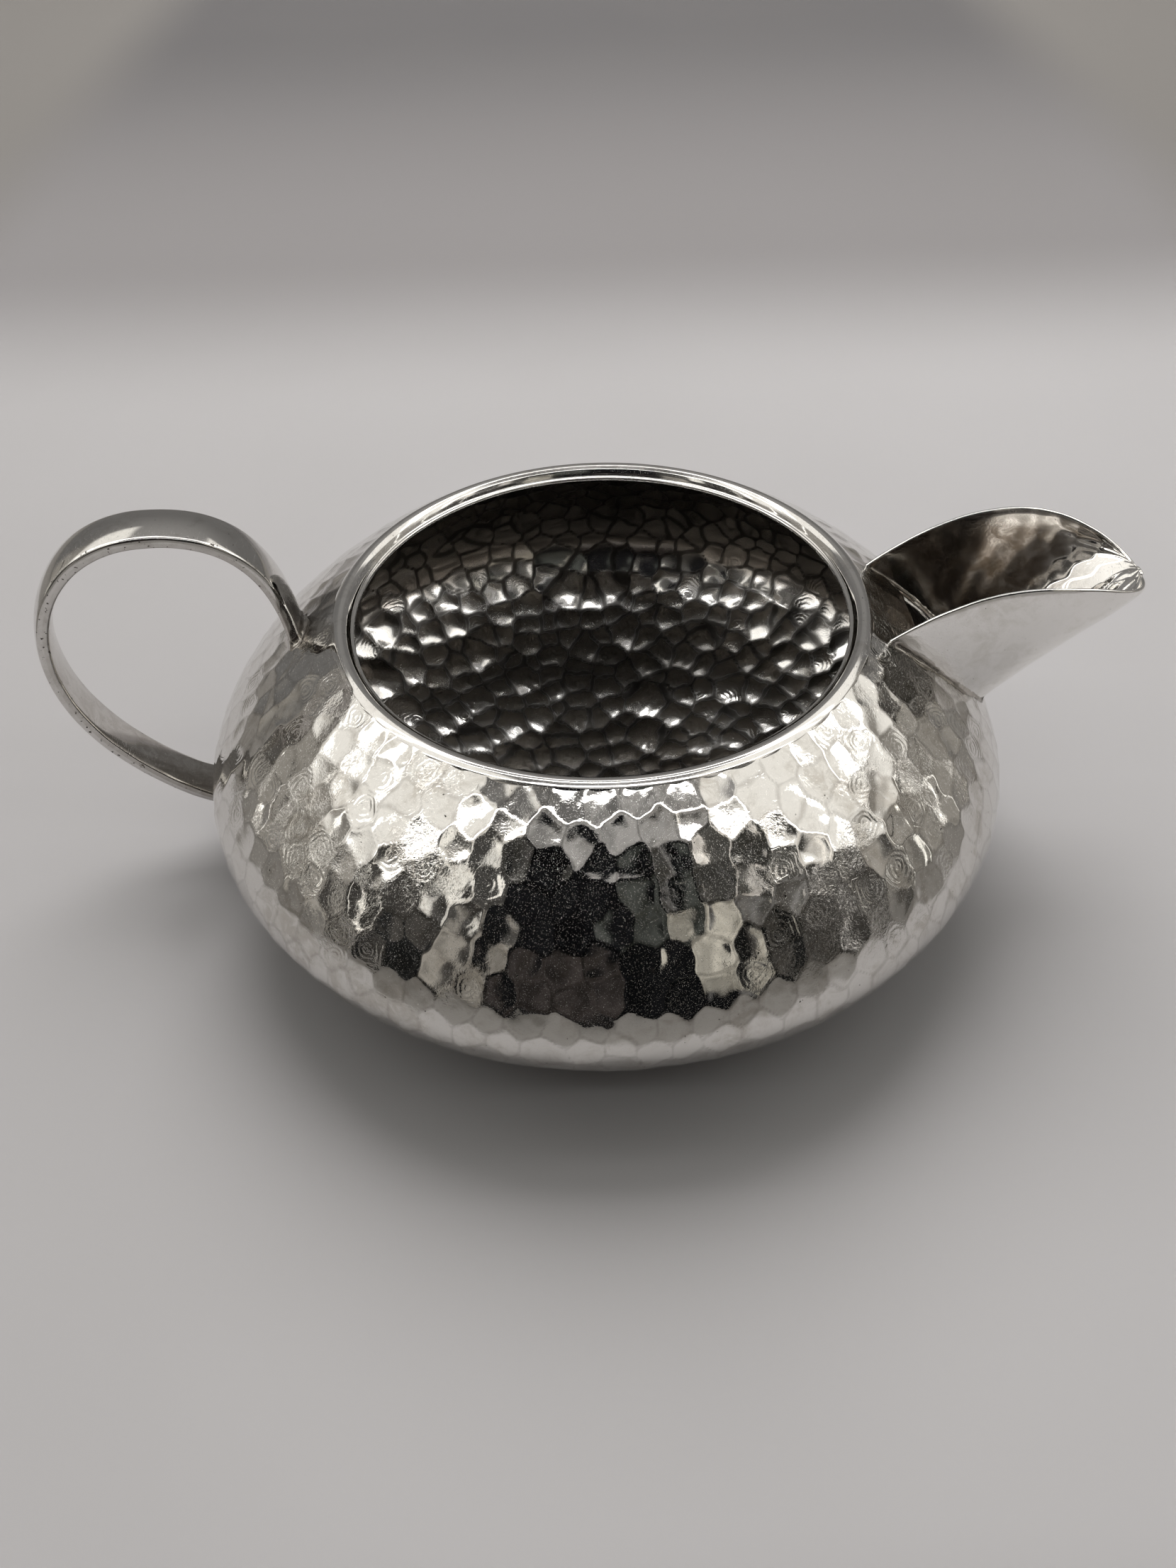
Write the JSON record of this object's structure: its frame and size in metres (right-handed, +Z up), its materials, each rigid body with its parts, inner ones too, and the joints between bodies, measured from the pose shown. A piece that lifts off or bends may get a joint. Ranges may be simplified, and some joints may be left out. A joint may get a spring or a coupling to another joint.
{
  "type": "cream jug",
  "caption": "Squat hammered silver cream jug with a rounded mouth rim, an open trough spout and a strap loop handle.",
  "frame": {"origin": "centre of the flat base, on the surface that the jug stands on", "axes": "+Z up out of the mouth, +X from the handle to the spout, +Y to the left when looking along the spout"},
  "size_m": [0.1482, 0.113, 0.0582],
  "materials": {
    "hammered_silver": "hand-hammered solid silver, polished, with fine scratches and grey tarnish in the marks",
    "rim_silver": "plain polished silver, slightly worn",
    "spout_silver": "polished silver sheet, lightly planished, tarnished inside",
    "handle_silver": "plain polished silver bar with small pits along its edges",
    "silver_solder": "silver solder, duller and slightly lumpy"
  },
  "bodies": {
    "root": {"body_shell": "hammered_silver", "mouth_rim": "rim_silver", "spout_shell": "spout_silver", "spout_solder_seam": "silver_solder", "handle_strap": "handle_silver", "handle_upper_solder": "silver_solder", "handle_lower_solder": "silver_solder"}
  },
  "joints": []
}
